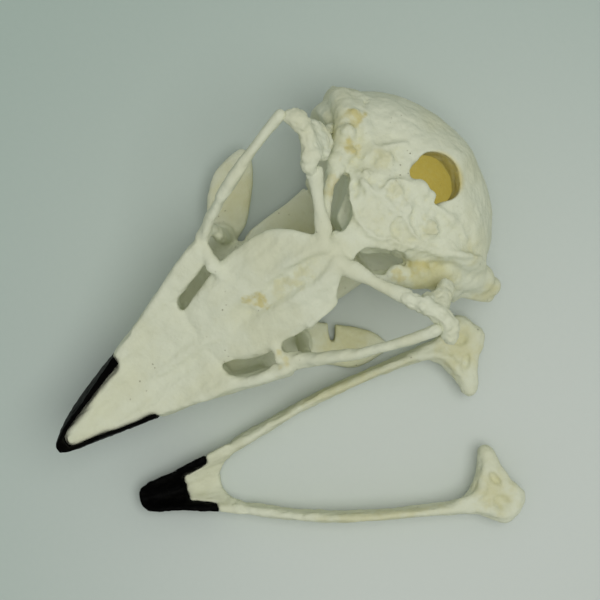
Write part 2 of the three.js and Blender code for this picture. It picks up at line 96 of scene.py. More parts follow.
class Bench:
    """Modelling steps that every bone is made with."""

    @staticmethod
    def pick(*objects: bpy.types.Object) -> bpy.types.Object:
        """Selects only these objects and makes the first one active.

        Args:
            objects: The objects to select.

        Returns:
            The first object.
        """
        bpy.ops.object.select_all(action="DESELECT")
        for one in objects:
            one.select_set(True)
        bpy.context.view_layer.objects.active = objects[0]
        return objects[0]

    @staticmethod
    def copy_of(node: str) -> bpy.types.Object:
        """Copies a solid's mesh and merges its loose triangles.

        Args:
            node: Name of the solid.

        Returns:
            The copy, on its own and with its place in its mesh.
        """
        Bench.pick(frame["nodes"][node])
        bpy.ops.object.duplicate()
        bpy.ops.object.parent_clear(type="CLEAR_KEEP_TRANSFORM")
        made = bpy.context.active_object
        for key in list(made.keys()):
            del made[key]
        made.data.materials.clear()
        bpy.ops.object.mode_set(mode="EDIT")
        bpy.ops.mesh.select_all(action="SELECT")
        bpy.ops.mesh.remove_doubles(threshold=1e-5)
        bpy.ops.object.mode_set(mode="OBJECT")
        return made

    @staticmethod
    def modify(obj: bpy.types.Object, kind: str, **settings: Any) -> bpy.types.Object:
        """Adds a modifier, sets it and applies it.

        Args:
            obj: The object to change.
            kind: The modifier's type.
            settings: The modifier's own settings.

        Returns:
            The same object.
        """
        Bench.pick(obj)
        made = obj.modifiers.new(kind.lower(), kind)
        for key, value in settings.items():
            setattr(made, key, value)
        bpy.ops.object.modifier_apply(modifier=made.name)
        return obj

    @staticmethod
    def soften(obj: bpy.types.Object, rounds: int, share: float = 0.5) -> bpy.types.Object:
        """Smooths a mesh evenly by a number of rounds."""
        return Bench.modify(obj, "SMOOTH", factor=share, iterations=rounds)

    @staticmethod
    def grow(obj: bpy.types.Object, depth: float) -> bpy.types.Object:
        """Moves a mesh's surface out by a depth in millimetres."""
        return Bench.modify(obj, "DISPLACE", strength=depth * MM, mid_level=0.0)

    @staticmethod
    def cast(obj: bpy.types.Object, voxel: float) -> bpy.types.Object:
        """Makes one closed skin over all that the mesh holds, in cells of that many millimetres."""
        return Bench.modify(obj, "REMESH", mode="VOXEL", voxel_size=voxel * MM)

    @staticmethod
    def rough(
        obj: bpy.types.Object,
        size: float,
        depth: float,
        name: str,
        zone: str = "",
        hard: bool = False,
        stretch: float = 1.0,
        turn_deg: float = 0.0,
    ) -> bpy.types.Object:
        """Raises unevenness on a mesh.

        Args:
            obj: The object to change.
            size: Size of one bump, in millimetres.
            depth: Height of the bumps, in millimetres.
            name: Name of the pattern.
            zone: Name of the marked zone that it is kept to, or nothing.
            hard: Whether it has sharp creases.
            stretch: How much longer a bump is along than across.
            turn_deg: Turn of its length from y.

        Returns:
            The same object.
        """
        cloud = bpy.data.textures.new(name, "CLOUDS")
        cloud.noise_scale = size * MM
        cloud.noise_depth = 2
        cloud.noise_type = "HARD_NOISE" if hard else "SOFT_NOISE"
        bpy.ops.object.select_all(action="DESELECT")
        bpy.ops.object.empty_add()
        guide = bpy.context.active_object
        guide.scale = (1.0, stretch, 1.0)
        guide.rotation_euler.z = math.radians(turn_deg)
        bpy.context.view_layer.update()
        by_guide = {"texture": cloud, "texture_coords": "OBJECT", "texture_coords_object": guide}
        Bench.modify(obj, "DISPLACE", strength=depth * MM, mid_level=0.5, vertex_group=zone, **by_guide)
        bpy.data.objects.remove(guide)
        return obj

    @staticmethod
    def mark(obj: bpy.types.Object, name: str, lie: Lie, share_at: Callable[[Vector], float]) -> str:
        """Marks a zone of a mesh.

        Args:
            obj: The object to mark.
            name: Name of the zone.
            lie: The bone's own frame.
            share_at: Gives the zone's share at a place in that frame.

        Returns:
            Name of the marked zone.
        """
        zone = obj.vertex_groups.new(name=name)
        back = lie.matrix().inverted()
        for vertex in obj.data.vertices:
            share = share_at(back @ vertex.co)
            if share > 0.0:
                zone.add([vertex.index], share, "REPLACE")
        return zone.name

    @staticmethod
    def fuse(pieces: Sequence[bpy.types.Object], name: str) -> bpy.types.Object:
        """Joins several meshes into one object.

        Args:
            pieces: The meshes, the first of which stays.
            name: Name of the joined object.

        Returns:
            The joined object.
        """
        made = Bench.pick(*pieces)
        if len(pieces) > 1:
            bpy.ops.object.join()
        made.name = name
        made.data.name = name
        return made

    @staticmethod
    def carve(body: bpy.types.Object, cutter: bpy.types.Object) -> bpy.types.Object:
        """Cuts one closed mesh out of another and removes the cutter."""
        Bench.modify(body, "BOOLEAN", object=cutter, operation="DIFFERENCE", solver="MANIFOLD")
        bpy.data.objects.remove(cutter)
        return body

    @staticmethod
    def thin_out(obj: bpy.types.Object, most: int) -> bpy.types.Object:
        """Brings a mesh down to a number of triangles."""
        count = sum(len(p.vertices) - 2 for p in obj.data.polygons)
        if count > most:
            Bench.modify(obj, "DECIMATE", ratio=most / count)
        return obj

    @staticmethod
    def polish(obj: bpy.types.Object) -> bpy.types.Object:
        """Shades a mesh smooth."""
        Bench.pick(obj)
        bpy.ops.object.shade_smooth()
        return obj


class Clay:
    """Lumps and rods laid on a bone in the bone's own frame, in millimetres."""

    def __init__(self, lie: Lie) -> None:
        """Keeps the frame that the clay is laid in."""
        self.place = lie.matrix()

    def settle(self, made: bpy.types.Object) -> bpy.types.Object:
        """Moves a new mesh from the bone's frame to the row frame and applies its place."""
        made.matrix_world = self.place @ made.matrix_world
        Bench.pick(made)
        bpy.ops.object.transform_apply(location=True, rotation=True, scale=True)
        return made

    def lump(self, centre: Point, half: Point, turn: Point = (0.0, 0.0, 0.0)) -> bpy.types.Object:
        """Lays a rounded lump.

        Args:
            centre: Middle of the lump.
            half: Half sizes along its own three axes.
            turn: Its turn about x, y and z in degrees.

        Returns:
            The lump's mesh.
        """
        bpy.ops.object.select_all(action="DESELECT")
        bpy.ops.mesh.primitive_ico_sphere_add(subdivisions=4, radius=1.0)
        made = bpy.context.active_object
        turned = Euler([math.radians(a) for a in turn]).to_matrix().to_4x4()
        made.matrix_world = Matrix.Translation(centre) @ turned @ Matrix.Diagonal((*half, 1.0))
        return self.settle(made)

    def rod(self, stops: Sequence[tuple[float, float, float, float]]) -> bpy.types.Object:
        """Lays a round rod of changing thickness along a smooth line.

        Args:
            stops: x, y, z and radius at each stop.

        Returns:
            The rod's closed mesh.
        """
        bpy.ops.object.select_all(action="DESELECT")
        bpy.ops.curve.primitive_bezier_curve_add()
        made = bpy.context.active_object
        line = made.data
        spline = line.splines[0]
        spline.bezier_points.add(len(stops) - len(spline.bezier_points))
        for knot, stop in zip(spline.bezier_points, stops):
            knot.co = stop[:3]
            knot.radius = stop[3]
            knot.handle_left_type = "AUTO"
            knot.handle_right_type = "AUTO"
        line.dimensions = "3D"
        line.resolution_u = 10
        line.bevel_depth = 1.0
        line.bevel_resolution = 5
        line.use_fill_caps = True
        made.matrix_world = Matrix.Identity(4)
        Bench.pick(made)
        bpy.ops.object.convert(target="MESH")
        ends = [self.lump(stop[:3], (stop[3],) * 3) for stop in (stops[0], stops[-1])]
        return Bench.fuse([self.settle(made), *ends], "rod")


class Value:
    """A shader socket that takes part in Python expressions."""

    def __init__(self, shop: "Shader", socket: bpy.types.NodeSocket) -> None:
        """Keeps the socket and the shader that it belongs to."""
        self.shop = shop
        self.socket = socket

    def _math(self, operation: str, *inputs: Any) -> "Value":
        """Adds a Math node over the inputs."""
        return self.shop.node("ShaderNodeMath", {"operation": operation}, dict(enumerate(inputs)))

    def __add__(self, other: Any) -> "Value":
        """Sum."""
        return self._math("ADD", self, other)

    __radd__ = __add__

    def __sub__(self, other: Any) -> "Value":
        """Difference."""
        return self._math("SUBTRACT", self, other)

    def __rsub__(self, other: Any) -> "Value":
        """Difference from a number."""
        return self._math("SUBTRACT", other, self)

    def __mul__(self, other: Any) -> "Value":
        """Product."""
        return self._math("MULTIPLY", self, other)

    __rmul__ = __mul__

    def between(self, low: float, high: float) -> "Value":
        """Smooth step from 0 at low to 1 at high."""
        settings = {"interpolation_type": "SMOOTHSTEP"}
        inputs = {"Value": self, "From Min": low, "From Max": high}
        return self.shop.node("ShaderNodeMapRange", settings, inputs)


class Shader:
    """A material's node tree, built from nodes and expressions."""

    def __init__(self, name: str) -> None:
        """Starts an empty material with its output and main shader."""
        self.material = bpy.data.materials.new(name)
        self.material.use_nodes = True
        self.tree = self.material.node_tree
        self.tree.nodes.clear()
        self.out = self.tree.nodes.new("ShaderNodeOutputMaterial")
        self.main = self.tree.nodes.new("ShaderNodeBsdfPrincipled")
        self.tree.links.new(self.main.outputs[0], self.out.inputs[0])

    def node(self, kind: str, settings: dict[str, Any], inputs: dict[Any, Any], output: Any = 0) -> Value:
        """Adds a node.

        Args:
            kind: The node's type.
            settings: Its own settings, set first.
            inputs: Values or links of its sockets, by name or number.
            output: Name or number of the output that is used.

        Returns:
            The output as a value.
        """
        made = self.tree.nodes.new(kind)
        for key, value in settings.items():
            setattr(made, key, value)
        for key, value in inputs.items():
            self.feed(made.inputs[key], value)
        return Value(self, made.outputs[output])

    def feed(self, socket: bpy.types.NodeSocket, value: Any) -> None:
        """Links a value to a socket, or sets a plain one."""
        if isinstance(value, Value):
            self.tree.links.new(value.socket, socket)
        elif socket.type == "RGBA" and len(value) == 3:
            socket.default_value = (*value, 1.0)
        else:
            socket.default_value = value

    def place(self) -> Value:
        """Object coordinates."""
        return self.node("ShaderNodeTexCoord", {}, {}, "Object")

    def noise(self, at: Value, size: float, detail: float = 3.0, rough: float = 0.5) -> Value:
        """Noise with features of a size in millimetres."""
        inputs = {"Vector": at, "Scale": 1 / (size * MM), "Detail": detail, "Roughness": rough}
        return self.node("ShaderNodeTexNoise", {}, inputs)

    def blend(self, share: Any, first: Any, second: Any) -> Value:
        """Mixes two colours by a share."""
        settings = {"data_type": "RGBA", "clamp_factor": True}
        made = self.node("ShaderNodeMix", settings, {0: share}, 2).socket.node
        self.feed(made.inputs[6], first)
        self.feed(made.inputs[7], second)
        return Value(self, made.outputs[2])

    def spot(self, at: Value, lie: Lie, centre: Point, half: Point, soft: float = 0.5) -> Value:
        """Rounded patch that is 1 in its middle and 0 outside.

        Args:
            at: Object coordinates.
            lie: The frame that the patch is given in.
            centre: Middle of the patch, in millimetres.
            half: Half sizes of the patch, in millimetres.
            soft: Share of the patch over which it fades.

        Returns:
            The patch's strength.
        """
        middle = lie.matrix() @ Vector(centre)
        turn = (0.0, math.radians(lie.roll_deg), math.radians(lie.turn_deg))
        mapped = self.node(
            "ShaderNodeMapping",
            {"vector_type": "TEXTURE"},
            {"Vector": at, "Location": middle, "Rotation": turn, "Scale": [h * MM for h in half]},
        )
        reach = self.node("ShaderNodeVectorMath", {"operation": "LENGTH"}, {0: mapped}, "Value")
        return 1.0 - reach.between(1.0 - soft, 1.0)

    def bump(self, height: Value, depth: float, under: Value | None = None) -> Value:
        """Bump of a height pattern, with its depth in millimetres."""
        inputs: dict[Any, Any] = {"Height": height, "Strength": 1.0, "Distance": depth * MM}
        if under is not None:
            inputs["Normal"] = under
        return self.node("ShaderNodeBump", {}, inputs)


@dataclass(frozen=True)
class Stain:
    """A patch of colour on a bone, which can also carry a painted glow that stands in for light shining
    through thin bone.
    """

    centre: Point
    half: Point
    strength: float
    colour: str = "amber"
    soft: float = 0.75
    wavy: bool = True
    # Strength of a painted glow: emission standing in for light shining through the bone.
    painted_glow: float = 0.0


@dataclass(frozen=True)
class BoneFinish:
    """Dry cleaned bone: matt cream, with painted shade that makes its hollows darker and yellower, yellower
    thin places that can carry a painted glow, and fine pores.
    """

    name: str
    lie: Lie
    stains: tuple[Stain, ...] = ()
    pale: Point = (0.71, 0.735, 0.565)
    cream: Point = (0.64, 0.645, 0.44)
    honey: Point = (0.60, 0.57, 0.29)
    amber: Point = (0.57, 0.485, 0.15)
    # Colour of the painted glow that stands in for light shining through thin bone.
    painted_glow_colour: Point = (0.2, 0.168, 0.04)
    roughness: float = 0.66
    sway: float = 9.0

    def make(self) -> bpy.types.Material:
        """Builds the material.

        Returns:
            The finished material.
        """
        shop = Shader(self.name)
        at = shop.place()
        broad = shop.noise(at, 11.0, 3.0).between(0.38, 0.68)
        fine = shop.noise(at, 1.6, 4.0, 0.6)
        colour = shop.blend(broad * 0.55, self.pale, self.cream)
        colour = shop.blend(fine.between(0.5, 0.78) * 0.30, colour, self.cream)
        # Painted shade: a darker, yellower honey tone blended into hollows and creases, found from the mesh's
        # pointiness.
        pointiness_for_painted_shade = shop.node("ShaderNodeNewGeometry", {}, {}, "Pointiness")
        colour = shop.blend((1.0 - pointiness_for_painted_shade.between(0.40, 0.49)) * 0.45, colour, self.honey)
        waves = {"Vector": at, "Scale": 1 / (3.0 * MM), "Detail": 4.0}
        sway = shop.node("ShaderNodeTexNoise", {}, waves, "Color")
        sway = shop.node("ShaderNodeVectorMath", {"operation": "SUBTRACT"}, {0: sway, 1: (0.5, 0.5, 0.5)})
        reach = (self.sway * MM,) * 3
        drift = shop.node("ShaderNodeVectorMath", {"operation": "MULTIPLY_ADD"}, {0: sway, 1: reach, 2: at})
        for stain in self.stains:
            where = drift if stain.wavy else at
            patch = shop.spot(where, self.lie, stain.centre, stain.half, stain.soft) * stain.strength
            colour = shop.blend(patch * (0.55 + fine * 0.8), colour, getattr(self, stain.colour))
            # Painted glow: emission in the stain's patch, standing in for light shining through thin bone.
            if stain.painted_glow > 0.0:
                shop.feed(shop.main.inputs["Emission Color"], shop.blend(patch, (0.0, 0.0, 0.0), self.painted_glow_colour))
                shop.main.inputs["Emission Strength"].default_value = stain.painted_glow
        pores = shop.node("ShaderNodeTexVoronoi", {}, {"Vector": at, "Scale": 1 / (1.5 * MM)}, "Distance")
        few = shop.noise(at, 6.0, 2.0).between(0.56, 0.66)
        pits = (1.0 - pores.between(0.03, 0.16)) * few
        colour = shop.blend(pits * 0.55, colour, (0.27, 0.24, 0.13))
        shop.feed(shop.main.inputs["Base Color"], colour)
        shop.feed(shop.main.inputs["Roughness"], self.roughness + fine * 0.16 - 0.08)
        shop.main.inputs["Specular IOR Level"].default_value = 0.25
        turn = (0.0, 0.0, math.radians(self.lie.turn_deg))
        stretch = {"Vector": at, "Rotation": turn, "Scale": (1.0, 7.0, 1.0)}
        along = shop.node("ShaderNodeMapping", {"vector_type": "TEXTURE"}, stretch)
        grain = shop.bump(shop.noise(at, 0.9, 4.0, 0.65) * 0.6 + shop.noise(along, 1.6, 3.0), 0.15)
        relief = shop.bump(shop.noise(at, 3.2, 3.0) - pits * 0.5, 0.42, grain)
        shop.feed(shop.main.inputs["Normal"], relief)
        return shop.material


@dataclass(frozen=True)
class HornFinish:
    """Black horn with a soft gloss and faint lengthwise streaks."""

    name: str
    lie: Lie
    dark: Point = (0.0012, 0.0012, 0.0011)
    worn: Point = (0.004, 0.0038, 0.0032)

    def make(self) -> bpy.types.Material:
        """Builds the material.

        Returns:
            The finished material.
        """
        shop = Shader(self.name)
        at = shop.place()
        turn = (0.0, 0.0, math.radians(self.lie.turn_deg))
        stretch = {"Vector": at, "Rotation": turn, "Scale": (1.0, 6.0, 1.0)}
        along = shop.node("ShaderNodeMapping", {"vector_type": "TEXTURE"}, stretch)
        streak = shop.noise(along, 1.1, 4.0, 0.55)
        shop.feed(shop.main.inputs["Base Color"], shop.blend(streak.between(0.45, 0.8), self.dark, self.worn))
        shop.feed(shop.main.inputs["Roughness"], 0.34 + streak * 0.2)
        shop.main.inputs["Specular IOR Level"].default_value = 0.015
        shop.feed(shop.main.inputs["Normal"], shop.bump(streak, 0.06))
        return shop.material


@dataclass(frozen=True)
class FloorFinish:
    """Pale grey-green paper, plain but for a broad pool of painted light that fades to painted shade further
    out.
    """

    name: str = "pale_floor"
    # Tone of the painted pool of light near the floor's middle; the other tone is painted shade further out.
    light: Point = (0.64, 0.685, 0.635)
    painted_shade_tone: Point = (0.42, 0.515, 0.455)

    def make(self) -> bpy.types.Material:
        """Builds the material.

        Returns:
            The finished material.
        """
        shop = Shader(self.name)
        at = shop.place()
        # Painted light on the floor: a broad soft pool of the light tone, fading to the painted-shade tone
        # further out.
        near = shop.spot(at, Lie((0.0, 0.0, 0.0)), (50.0, 10.0, 0.0), (190.0, 190.0, 190.0), 0.9)
        speck = shop.noise(at, 1.2, 3.0) * 0.08 - 0.04
        shop.feed(shop.main.inputs["Base Color"], shop.blend(near + speck, self.painted_shade_tone, self.light))
        shop.main.inputs["Roughness"].default_value = 0.9
        shop.main.inputs["Specular IOR Level"].default_value = 0.15
        return shop.material


def hand_over(piece: bpy.types.Object, material: bpy.types.Material, nodes: Iterable[str]) -> None:
    """Gives a finished piece its material and its body, and hides the solids that it stands for.

    Args:
        piece: The finished piece.
        material: Its material.
        nodes: The solids that it stands for.
    """
    Bench.polish(piece)
    piece.data.materials.clear()
    piece.data.materials.append(material)
    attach(piece, "root")
    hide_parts(*nodes)
    LOG.info("%s: %d faces", piece.name, len(piece.data.polygons))


@dataclass
class Skull:
    """The fused bones of the skull, from the bill to the back of the head."""

    cell: float = 0.42
    skin: float = 0.22
    most_triangles: int = 190000
    foramen: Point = (0.7, 105.4, 35.0)
    foramen_half: Point = (6.1, 5.0, 17.0)
    foramen_rim: Point = (1.2, 107.0, 38.5)
    base_middle: Point = (0.0, 94.0, 42.0)
    foramen_rise_deg: float = 63.0
    nodes: tuple[str, ...] = (
        "braincase",
        "upper_bill",
        "frontal",
        "septum",
        "palatine_left",
        "palatine_right",
        "jugal_left",
        "jugal_right",
        "pterygoid_left",
        "pterygoid_right",
        "lacrimal_left",
        "lacrimal_right",
    )

    def clay(self) -> list[bpy.types.Object]:
        """Lays the lumps and ridges that the plain solids lack.

        Returns:
            The new meshes.
        """
        on = Clay(SKULL_LIE)
        made = [
            on.lump((0.2, 80.0, 42.7), (4.2, 4.6, 1.9)),
            on.rod(
                [
                    (0.0, 56.0, 35.6, 1.5),
                    (0.0, 65.0, 39.0, 2.0),
                    (0.0, 73.0, 42.2, 2.2),
                    (0.0, 78.0, 43.6, 1.7),
                ]
            ),
            on.rod([(-26.0, 99.6, 28.0, 3.0), (-22.4, 98.2, 33.0, 3.4), (-19.2, 95.0, 36.0, 3.4)]),
            on.rod([(-19.2, 95.0, 36.0, 3.4), (-16.4, 91.4, 38.0, 3.0), (-13.8, 87.6, 39.6, 2.2)]),
            on.rod(
                [
                    (10.4, 81.6, 36.0, 1.8),
                    (13.6, 86.2, 35.4, 2.8),
                    (17.2, 90.8, 34.6, 3.4),
                    (20.6, 95.4, 31.6, 3.8),
                ]
            ),
            on.rod([(20.6, 95.4, 31.6, 3.8), (24.6, 99.4, 26.6, 3.6), (27.4, 101.2, 23.0, 3.2)]),
            on.rod(
                [
                    (0.0, 26.0, 26.9, 0.7),
                    (0.0, 34.0, 28.7, 1.1),
                    (0.0, 42.0, 31.3, 1.2),
                    (0.0, 52.0, 34.8, 0.9),
                ]
            ),
            on.rod([(27.0, 97.6, 23.6, 2.2), (30.0, 99.6, 21.4, 2.0), (32.2, 101.2, 19.6, 1.6)]),
            on.rod(
                [
                    (14.6, 50.5, 34.2, 1.3),
                    (15.8, 54.2, 35.6, 1.5),
                    (17.6, 58.0, 37.2, 1.4),
                    (19.6, 62.2, 38.8, 1.2),
                ]
            ),
            on.rod([(6.6, 43.6, 31.4, 0.8), (8.0, 47.6, 32.6, 1.3), (9.7, 52.3, 33.8, 1.4)]),
            on.rod(
                [
                    (6.1, 71.1, 42.7, 1.0),
                    (9.2, 70.8, 42.1, 0.9),
                    (9.9, 67.6, 41.5, 1.0),
                    (10.4, 63.3, 40.4, 0.9),
                ]
            ),
            on.lump((26.4, 101.4, 23.6), (4.6, 3.6, 3.4), (0, 20, 30)),
            on.lump((30.4, 103.0, 21.0), (2.4, 2.6, 2.6), (0, 20, 30)),
            on.rod([(-17.6, 58.6, 26.0, 1.6), (-18.8, 58.4, 31.0, 1.6), (-20.8, 57.4, 35.4, 1.6)]),
            on.rod([(-26.4, 100.2, 22.0, 1.8), (-28.2, 100.4, 17.6, 1.2), (-29.2, 100.6, 15.6, 0.7)]),
        ]
        for side in Side:
            s = side.value
            made += [
                on.rod(
                    [
                        (s * 2.2, 76.6, 44.2, 2.0),
                        (s * 6.2, 78.0, 45.0, 1.6),
                        (s * 10.8, 80.2, 46.0, 0.9),
                    ]
                ),
                on.lump((s * 17.6 - 2.4, 55.8, 35.6), (1.9, 3.0, 1.5), (0, 0, s * -25)),
                on.rod(
                    [
                        (s * 9.6, 54.6, 35.8, 1.3),
                        (s * 13.2, 53.6, 36.2, 1.3),
                        (s * 16.4 - 1.4, 54.8, 36.0, 1.3),
                    ]
                ),
                on.rod(
                    [
                        (s * 3.4, 55.0, 36.8, 0.7),
                        (s * 3.9, 62.0, 39.9, 0.9),
                        (s * 4.0, 69.0, 42.9, 1.0),
                        (s * 2.6, 75.4, 44.8, 1.2),
                    ]
                ),
                on.rod(
                    [
                        (s * 12.6, 97.4, 38.0, 2.0),
                        (s * 18.5, 99.8, 35.6, 2.2),
                        (s * 23.0, 102.4, 29.4, 2.4),
                        (s * 26.6, 100.6, 21.0, 2.2),
                    ]
                ),
                on.lump((s * 15.4, 57.0, 6.4), (4.4, 4.8, 3.0)),
            ]
        return made

    def late_clay(self) -> list[bpy.types.Object]:
        """Lays the condyle and the sharp ridges and knobs of the skull's base, after the cuts.

        Returns:
            The new meshes.
        """
        on = Clay(SKULL_LIE)
        return [
            on.rod(
                [
                    (-11.9, 91.8, 40.0, 0.9),
                    (-7.9, 91.9, 42.5, 1.1),
                    (-3.9, 92.9, 43.3, 1.1),
                    (-0.1, 93.5, 43.4, 1.0),
                ]
            ),
            on.rod(
                [
                    (-0.1, 93.5, 43.4, 1.0),
                    (3.2, 94.4, 43.1, 1.1),
                    (8.2, 93.9, 42.2, 1.0),
                    (12.6, 95.6, 40.0, 0.8),
                ]
            ),
            on.rod(
                [
                    (-12.6, 95.4, 39.6, 0.9),
                    (-12.6, 99.0, 39.4, 1.0),
                    (-10.9, 102.2, 38.8, 1.0),
                    (-9.6, 105.0, 38.3, 0.8),
                ]
            ),
            on.rod(
                [
                    (-12.2, 91.4, 39.9, 0.9),
                    (-8.5, 88.4, 42.0, 0.9),
                    (-6.0, 86.9, 42.9, 0.9),
                    (-2.6, 85.7, 43.6, 1.0),
                ]
            ),
            on.rod(
                [
                    (-2.6, 85.7, 43.6, 1.0),
                    (1.5, 86.3, 43.7, 1.0),
                    (5.5, 89.5, 43.1, 1.0),
                    (9.8, 92.5, 41.6, 1.1),
                ]
            ),
            on.rod(
                [
                    (9.8, 92.5, 41.6, 1.1),
                    (14.3, 96.3, 39.2, 1.1),
                    (18.2, 100.4, 38.4, 1.0),
                    (22.0, 103.6, 33.6, 0.9),
                ]
            ),
            on.rod(
                [
                    (-3.9, 92.9, 43.3, 0.9),
                    (-5.0, 95.8, 42.8, 0.9),
                    (-4.2, 98.7, 41.9, 0.9),
                    (-2.3, 100.0, 41.4, 1.0),
                ]
            ),
            on.rod(
                [
                    (4.0, 100.9, 40.6, 0.8),
                    (7.3, 102.6, 39.5, 0.8),
                    (11.6, 103.8, 38.1, 0.8),
                    (16.2, 103.5, 36.4, 0.7),
                ]
            ),
            on.lump((-9.7, 98.9, 39.8), (2.8, 2.4, 1.8)),
            on.lump((-12.0, 97.6, 39.4), (1.8, 1.8, 1.5)),
            on.lump((-2.5, 96.6, 42.6), (2.0, 1.9, 1.3)),
            on.lump((-9.2, 93.7, 41.6), (1.9, 1.6, 1.5)),
            on.lump((8.7, 98.1, 40.6), (2.6, 2.4, 2.0)),
            on.lump((9.7, 103.0, 38.4), (2.2, 1.8, 1.4)),
            on.lump((2.1, 96.6, 42.5), (1.9, 1.6, 1.3)),
            on.lump((0.4, 101.7, 40.6), (2.5, 1.9, 1.9)),
            on.lump((2.8, 102.6, 39.8), (1.6, 1.3, 1.5)),
            on.lump((-21.5, 99.2, 35.6), (2.2, 2.0, 2.0)),
            on.lump((-19.6, 95.8, 38.4), (2.2, 2.0, 2.2)),
            on.lump((-16.4, 89.8, 40.2), (2.0, 2.2, 1.8)),
            on.lump((-15.6, 93.6, 39.4), (1.8, 1.6, 1.5)),
            on.lump((15.4, 90.7, 37.2), (2.4, 2.2, 1.8)),
            on.lump((19.6, 95.6, 34.4), (2.2, 2.4, 2.2)),
            on.lump((12.2, 86.0, 37.4), (1.6, 2.4, 1.4)),
            on.rod(
                [
                    (-14.6, 89.0, 40.0, 1.8),
                    (-12.8, 86.0, 41.0, 1.6),
                    (-10.2, 82.8, 42.6, 1.2),
                    (-6.6, 79.6, 43.6, 1.2),
                ]
            ),
        ]

    def cutters(self) -> bpy.types.Object:
        """Makes what is cut out of the fused skin.

        Returns:
            One closed cutter.
        """
        on = Clay(SKULL_LIE)
        made = [
            on.lump(self.foramen, self.foramen_half, (self.foramen_rise_deg - 90.0, 0, 0)),
            on.lump((4.4, 91.6, 44.2), (2.4, 1.5, 1.4), (0, 0, -35)),
            on.lump((-0.8, 89.8, 46.4), (5.0, 2.8, 3.2)),
            on.lump((-6.6, 84.4, 41.0), (2.0, 5.4, 6.0), (0, 0, 47)),
            on.lump((8.4, 84.4, 40.0), (3.2, 7.0, 7.0), (0, 0, -47)),
            on.lump((17.6, 67.2, 4.4), (4.4, 0.8, 4.0), (0, 0, -34)),
            on.rod(
                [
                    (-23.0, 104.7, 30.4, 0.6),
                    (-20.4, 100.1, 38.4, 0.6),
                    (-18.2, 97.7, 39.4, 0.6),
                    (-14.5, 94.5, 40.4, 0.5),
                ]
            ),
        ]
        return Bench.cast(Bench.fuse(made, "skull_cutters"), 0.3)

    def base_share(self, here: Vector) -> float:
        """Share of the base's roughness at a place behind the palate, less near the great opening.

        Args:
            here: The place in the skull's own frame.

        Returns:
            The share, from 0 to 1.
        """
        share = rise(here.y, 80.0, 88.0) * rise(here.z, 24.0, 32.0)
        share *= max(rise((here - Vector(self.foramen_rim)).length, 5.0, 10.0), 0.15)
        return share * min(max(1.55 - (here - Vector(self.base_middle)).length / 16.0, 0.4), 1.0)

    @staticmethod
    def palate_share(here: Vector) -> float:
        """Share of the lengthwise streaks at a place on the bill or the palate."""
        return rise(-here.y, -78.0, -70.0) * rise(here.z, 18.0, 24.0)

    def build(self) -> bpy.types.Object:
        """Casts the bones and their clay into one skin, then cuts and smooths it.

        Returns:
            The skull's finished mesh.
        """
        rounds = {"braincase": 55, "upper_bill": 26, "frontal": 24, "palatine_left": 10, "palatine_right": 10}
        parts = []
        for node in self.nodes:
            part = Bench.copy_of(node)
            Bench.grow(part, 0.08 if "jugal" in node else self.skin)
            parts.append(Bench.soften(Bench.cast(part, 0.5), rounds.get(node, 6)))
        made = Bench.fuse([*parts, *self.clay()], "skull")
        Bench.soften(Bench.cast(made, self.cell), 5)
        Bench.carve(made, self.cutters())
        Bench.fuse([made, *self.late_clay()], "skull")
        Bench.soften(Bench.cast(made, self.cell), 3)
        base = Bench.mark(made, "base", SKULL_LIE, self.base_share)
        palate = Bench.mark(made, "palate", SKULL_LIE, self.palate_share)
        Bench.rough(made, 7.0, 0.6, "skull_waves")
        Bench.rough(made, 2.4, 0.2, "skull_grain")
        Bench.rough(made, 3.4, 1.2, "palate_streaks", palate, stretch=9.0)
        Bench.rough(made, 5.0, 1.5, "base_waves", base, hard=True)
        Bench.rough(made, 1.9, 0.6, "base_grain", base, hard=True)
        Bench.soften(made, 1)
        return Bench.thin_out(made, self.most_triangles)

    def dress(self, piece: bpy.types.Object) -> None:
        """Gives the skull its finish."""
        stains = (
            # Inside of the braincase: amber with a painted glow standing in for light shining through the
            # thin bone.
            Stain((1.0, 103.0, 19.0), (15.0, 13.0, 17.0), 1.0, soft=0.25, wavy=False, painted_glow=1.0),
            Stain((1.0, 105.8, 34.6), (7.8, 7.0, 6.2), 1.0, soft=0.25, wavy=False),
            Stain((0.0, 66.0, 41.0), (2.6, 11.0, 4.0), 0.5, "honey"),
            Stain((-0.6, 56.4, 38.0), (2.2, 3.4, 3.0), 0.7),
            Stain((-21.6, 99.2, 37.0), (3.4, 3.2, 4.0), 0.8),
            Stain((-16.6, 94.2, 39.8), (3.6, 3.0, 4.0), 0.75),
            Stain((-10.5, 98.5, 41.5), (4.0, 3.4, 3.0), 0.4, "honey"),
            Stain((-2.0, 96.5, 43.5), (3.6, 4.6, 2.6), 0.35, "honey"),
            Stain((8.7, 98.0, 42.4), (3.4, 3.0, 3.0), 0.4, "honey"),
            Stain((19.0, 103.4, 37.0), (5.0, 4.0, 4.0), 0.45, "honey"),
            Stain((-11.6, 85.4, 42.0), (3.4, 3.4, 4.0), 0.45),
            Stain((13.8, 85.4, 38.0), (2.6, 2.6, 3.0), 0.6),
            Stain((-20.0, 95.0, 34.0), (9.0, 8.0, 8.0), 0.5, "honey"),
            Stain((15.2, 91.4, 37.4), (3.0, 3.0, 4.0), 0.85),
            Stain((19.0, 91.0, 35.0), (11.0, 9.0, 9.0), 0.8, "honey"),
            Stain((30.0, 101.0, 22.0), (6.0, 6.0, 6.0), 0.6, "honey"),
            Stain((-22.0, 68.0, 4.0), (9.0, 12.0, 6.0), 0.55, "honey"),
            Stain((22.0, 68.0, 4.0), (9.0, 12.0, 6.0), 0.7, "honey"),
            Stain((0.0, 74.0, 6.0), (15.0, 12.0, 8.0), 0.35, "honey"),
            Stain((14.0, 53.0, 35.0), (2.6, 3.0, 3.0), 0.5),
        )
        hand_over(piece, BoneFinish("skull_bone", SKULL_LIE, stains).make(), self.nodes)


